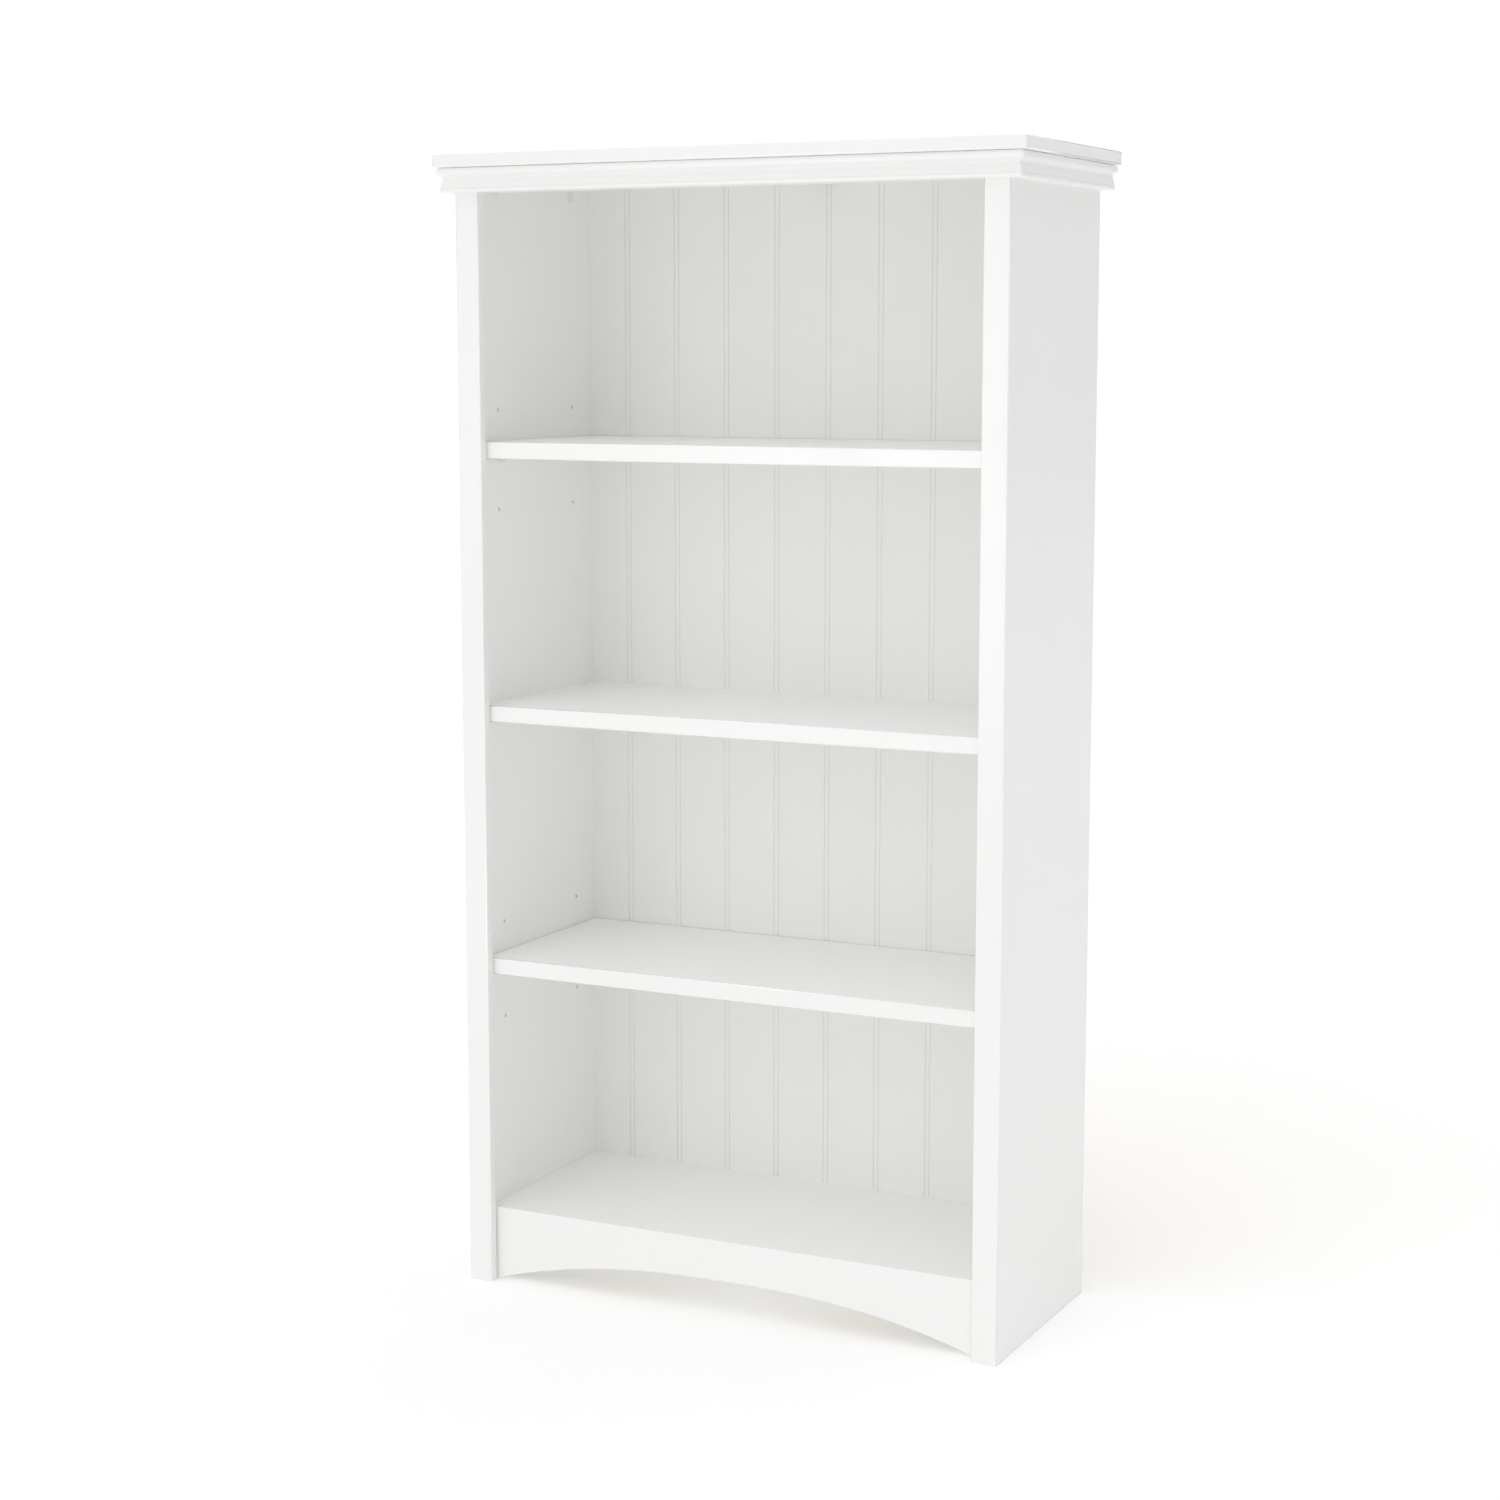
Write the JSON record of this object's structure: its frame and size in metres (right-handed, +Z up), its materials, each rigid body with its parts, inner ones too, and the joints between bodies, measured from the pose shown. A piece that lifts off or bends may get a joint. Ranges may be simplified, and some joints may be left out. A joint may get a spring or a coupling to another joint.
{
  "type": "bookcase",
  "caption": "Tall open bookcase with framed front, crown moulding, beaded back, arched kick plate, fixed shelves and adjustable shelves that lift off their pins.",
  "frame": {"origin": "middle of the footprint of the top board, on the floor", "axes": "+Z up, front faces -Y, +X to the right seen from the front"},
  "size_m": [0.797, 0.3306, 1.467],
  "materials": {
    "white_foil": "satin white foil over particle board",
    "back_foil": "matt white paper foil on beaded hardboard",
    "raw_wood": "unfinished softwood and beech",
    "pin_steel": "nickel-plated steel",
    "cam_zinc": "die-cast zinc",
    "screw_steel": "zinc-plated steel",
    "cap_plastic": "moulded white plastic"
  },
  "bodies": {
    "carcass": {"top_board": "white_foil", "crown_moulding_front": "white_foil", "crown_moulding_left": "white_foil", "crown_moulding_right": "white_foil", "top_rail": "white_foil", "side_panel_left": "white_foil", "side_panel_right": "white_foil", "front_post_left": "white_foil", "front_post_right": "white_foil", "middle_shelf": "white_foil", "bottom_shelf": "white_foil", "kick_plate": "white_foil", "kick_cleats": "raw_wood", "back_panel": "back_foil", "upper_shelf_pins": "pin_steel", "lower_shelf_pins": "pin_steel", "cam_locks": "cam_zinc", "cam_bolts": "screw_steel", "cam_cover_caps": "cap_plastic", "wood_dowels": "raw_wood", "post_dowels": "raw_wood", "moulding_screws": "screw_steel", "cleat_screws": "screw_steel", "back_nails": "screw_steel", "wall_bracket": "screw_steel", "wall_bracket_screws": "screw_steel"},
    "upper_shelf": {"upper_shelf": "white_foil"},
    "lower_shelf": {"lower_shelf": "white_foil"}
  },
  "joints": [
    {"name": "upper_shelf_lift", "type": "slide", "parent": "carcass", "child": "upper_shelf", "axis": [0, 0, 1], "range_m": [0, 0.3]},
    {"name": "lower_shelf_lift", "type": "slide", "parent": "carcass", "child": "lower_shelf", "axis": [0, 0, 1], "range_m": [0, 0.3]}
  ]
}
